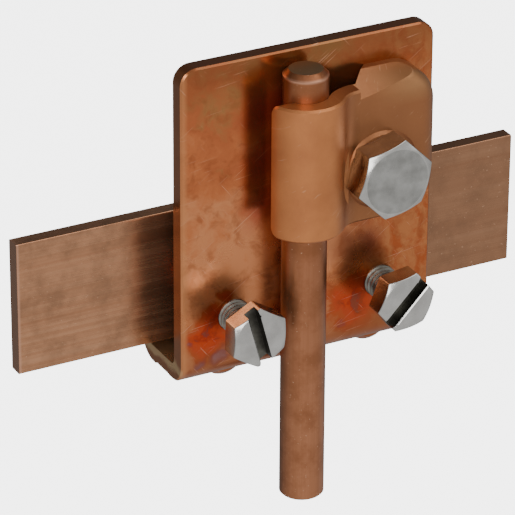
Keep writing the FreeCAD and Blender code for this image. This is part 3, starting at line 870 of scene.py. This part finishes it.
def mill_slot(shape, item, axis_x, axis_z):
    """Driving slot: plane cuts mark it out, the waste goes, the lips are eased, floor and walls go in."""
    turn = math.radians(item["slot_turn"])
    along = Vector((math.cos(turn), 0, math.sin(turn)))
    across = Vector((-math.sin(turn), 0, math.cos(turn)))
    middle = Vector((axis_x, item["face"] * MM, axis_z))
    floor_y = (item["face"] + SLOT_DEPTH) * MM
    half = SLOT_WIDTH / 2 * MM
    outer = half + SLOT_EDGE * MM

    def sideways(place):
        return (place - middle).dot(across)

    def on_wall(place, wall):
        return abs(sideways(place) - wall) < SAME_PLACE

    def on_floor(place):
        return abs(place.y - floor_y) < SAME_PLACE

    cuts = [(Vector((axis_x, floor_y, axis_z)), Vector((0, 1, 0)))]
    for offset in (-outer, -half, half, outer):
        cuts.append((middle + across * offset, across))
    for spot, normal in cuts:
        everything = shape.verts[:] + shape.edges[:] + shape.faces[:]
        bmesh.ops.bisect_plane(shape, geom=everything, dist=SLOT_SNAP, plane_co=spot, plane_no=normal)
    shape.normal_update()

    waste = []
    lips = set()
    for part in shape.faces:
        centre = part.calc_center_median()
        offset = abs(sideways(centre))
        if centre.y < floor_y and offset < half:
            waste.append(part)
        elif centre.y < floor_y and offset < outer and abs(part.normal.y) > LIP_FACING:
            part.material_index = BRIGHT
            lips.update(vert for vert in part.verts if on_wall(vert.co, half) or on_wall(vert.co, -half))
    bmesh.ops.delete(shape, geom=waste, context="FACES")
    for vert in lips:
        vert.co.y += SLOT_EDGE * MM

    open_edges = [edge for edge in shape.edges if edge.is_boundary]
    corners = {}
    for vert in {vert for edge in open_edges for vert in edge.verts}:
        if on_floor(vert.co) and (on_wall(vert.co, half) or on_wall(vert.co, -half)):
            corners[(sideways(vert.co) > 0, (vert.co - middle).dot(along) > 0)] = vert
    runs = []
    for side in (False, True):
        runs.append(shape.edges.new((corners[(side, False)], corners[(side, True)])))
    for run, wall in zip(runs, (-half, half)):
        around = [edge for edge in open_edges if all(on_wall(vert.co, wall) for vert in edge.verts)]
        # The slot's walls take the darkest steel, painted shade.
        for part in bmesh.ops.contextual_create(shape, geom=[run] + around)["faces"]:
            part.material_index = SHADED_WALLS
    bottom = runs + [edge for edge in open_edges if all(on_floor(vert.co) for vert in edge.verts)]
    for part in bmesh.ops.contextual_create(shape, geom=bottom)["faces"]:
        part.material_index = MILLED


def thread(item, axis_x, axis_z, tip_y):
    """One ridge spun along the shank, cut square at both ends and chamfered at the tip."""
    pitch = item["pitch"] * MM
    crest = item["radius"] * MM
    root = crest - THREAD_DEPTH * pitch
    start = (item["seat"] + NECK) * MM
    radii = {"root": root, "crest": crest}
    shape = bmesh.new()
    points = []
    for level, share in RIDGE:
        spot = (axis_x + radii[level], start + (share - PITCHES_BEHIND) * pitch, axis_z)
        points.append(shape.verts.new(spot))
    edges = [shape.edges.new(pair) for pair in zip(points, points[1:])]
    turns = math.ceil((tip_y - start) / pitch) + TURNS_BEYOND
    bmesh.ops.spin(
        shape,
        geom=points + edges,
        cent=(axis_x, 0, axis_z),
        axis=(0, 1, 0),
        angle=-math.tau * turns,
        dvec=(0, pitch / STEPS_PER_TURN, 0),
        steps=STEPS_PER_TURN * turns,
        use_merge=False,
    )
    bmesh.ops.remove_doubles(shape, verts=shape.verts, dist=THREAD_MERGE)
    for vert in shape.verts:
        past = vert.co.y - (tip_y - TIP_CHAMFER * MM)
        offset = Vector((vert.co.x - axis_x, 0, vert.co.z - axis_z))
        limit = crest - past
        if past > 0 and offset.length > limit:
            offset *= limit / offset.length
            vert.co.x = axis_x + offset.x
            vert.co.z = axis_z + offset.z
    cut_off(shape, start, -1)
    cut_off(shape, tip_y, 1)
    for part in shape.faces:
        part.material_index = ROLLED
    bmesh.ops.recalc_face_normals(shape, faces=shape.faces)
    return shape


def threaded_fastener(item):
    """A screw or bolt with its thread, in place of the plain packed one."""
    low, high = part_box(item["node"])
    axis_x = (low.x + high.x) / 2
    axis_z = (low.z + high.z) / 2
    shape = fastener_head(item, axis_x, axis_z)
    turned = thread(item, axis_x, axis_z, high.y)
    ridge = bpy.data.meshes.new("ridge")
    turned.to_mesh(ridge)
    turned.free()
    shape.from_mesh(ridge)
    bpy.data.meshes.remove(ridge)
    piece = new_piece("threaded_" + item["node"], shape, STEELS)
    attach(piece, item["body"])
    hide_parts(item["node"])


for fastener in FASTENERS:
    threaded_fastener(fastener)


# The floor's level and half its side in metres, and how strongly it glows.
FLOOR_LEVEL = -0.09
FLOOR_REACH = 4.0
FLOOR_GLOW = 4.0


def white_floor():
    """Plain floor of white paper under the clamp, lit evenly by its own glow."""
    mesh = bpy.data.meshes.new("floor")
    shape = bmesh.new()
    bmesh.ops.create_grid(shape, x_segments=1, y_segments=1, size=FLOOR_REACH)
    bmesh.ops.translate(shape, vec=(0, 0, FLOOR_LEVEL), verts=shape.verts)
    shape.to_mesh(mesh)
    shape.free()
    floor = bpy.data.objects.new("floor", mesh)
    floor.visible_diffuse = False
    floor.visible_glossy = False
    bpy.context.collection.objects.link(floor)
    material, tree, shader, place = new_material("white_paper", 0.0)
    speckle = add(tree, "ShaderNodeTexNoise", {"Vector": place, "Scale": repeats(25)})
    paper = mixed(tree, speckle.outputs["Fac"], linear("#F7F7F7"), linear("#F4F4F4"))
    tree.links.new(paper, shader.inputs["Base Color"])
    shader.inputs["Roughness"].default_value = 0.9
    shader.inputs["Emission Color"].default_value = (1, 1, 1, 1)
    shader.inputs["Emission Strength"].default_value = FLOOR_GLOW
    mesh.materials.append(material)


# Lamps: name, place and side in metres, and power in watts. All of them aim
# near the middle of the clamp.
LAMPS = (
    ("key", (-0.40, -0.82, 0.38), 0.75, 9.0),
    ("fill", (0.75, -0.35, 0.30), 0.40, 0.3),
    ("top", (0.45, -0.10, 0.95), 0.70, 4.0),
    ("back", (0.10, 0.90, -0.05), 0.50, 2.5),
)
LAMP_AIM = Vector((0.045, -0.01, 0.0))
# The way from the clamp to the pale side of the studio.
PALE_SIDE = (-0.1, -0.92, -0.38)


def studio_light():
    """Soft studio: pale in front and below, dim behind, with four square lamps."""
    world = bpy.data.worlds.new("studio")
    world.use_nodes = True
    tree = world.node_tree
    background = tree.nodes["Background"]
    direction = add(tree, "ShaderNodeTexCoord").outputs["Generated"]
    facing = add(tree, "ShaderNodeVectorMath", {0: direction, 1: PALE_SIDE}, operation="DOT_PRODUCT")
    strength = add(tree, "ShaderNodeMapRange", {
        "Value": facing.outputs["Value"],
        "From Min": -0.9,
        "From Max": 0.7,
        "To Min": 0.12,
        "To Max": 0.85,
    }, interpolation_type="SMOOTHSTEP")
    tree.links.new(strength.outputs["Result"], background.inputs["Strength"])
    background.inputs["Color"].default_value = (1, 1, 1, 1)
    bpy.context.scene.world = world

    for name, spot, size, power in LAMPS:
        lamp = bpy.data.lights.new(name, "AREA")
        lamp.shape = "SQUARE"
        lamp.size = size
        lamp.energy = power
        holder = bpy.data.objects.new(name, lamp)
        holder.location = spot
        aim = LAMP_AIM - Vector(spot)
        holder.rotation_mode = "QUATERNION"
        holder.rotation_quaternion = aim.to_track_quat("-Z", "Y")
        bpy.context.collection.objects.link(holder)


# The photo's camera, fitted to it: turn, height and tilt in degrees, distance
# in millimetres from its aim, which is given in the saddle's own frame, and the
# lens and film in millimetres.
CAMERA_TURN = -27.68
CAMERA_HEIGHT = 26.88
CAMERA_TILT = 0.31
CAMERA_DISTANCE = 680.33
CAMERA_AIM = (14.752, 21.843)
LENS = 274.3
FILM_WIDTH = 36.0


def photo_camera():
    """Camera of the photo."""
    turn = math.radians(CAMERA_TURN)
    height = math.radians(CAMERA_HEIGHT)
    tilt = math.radians(CAMERA_TILT)
    distance = CAMERA_DISTANCE * MM
    aim_x, aim_z = CAMERA_AIM
    target = Vector((aim_x + PLATE_LEFT, PLATE_FRONT, aim_z + FLOOR_UNDERSIDE)) * MM
    back = Vector((math.sin(turn) * math.cos(height), -math.cos(turn) * math.cos(height), math.sin(height)))
    level = Vector((math.cos(turn), math.sin(turn), 0))
    upright = back.cross(level)
    right = level * math.cos(tilt) + upright * math.sin(tilt)
    up = upright * math.cos(tilt) - level * math.sin(tilt)
    data = bpy.data.cameras.new("photo_camera")
    data.sensor_width = FILM_WIDTH
    data.lens = LENS
    data.clip_start = 0.01
    data.clip_end = 20.0
    camera = bpy.data.objects.new("photo_camera", data)
    place = Matrix((right, up, back)).transposed().to_4x4()
    place.translation = target + back * distance
    camera.matrix_world = place
    bpy.context.collection.objects.link(camera)
    bpy.context.scene.camera = camera


white_floor()
studio_light()
photo_camera()
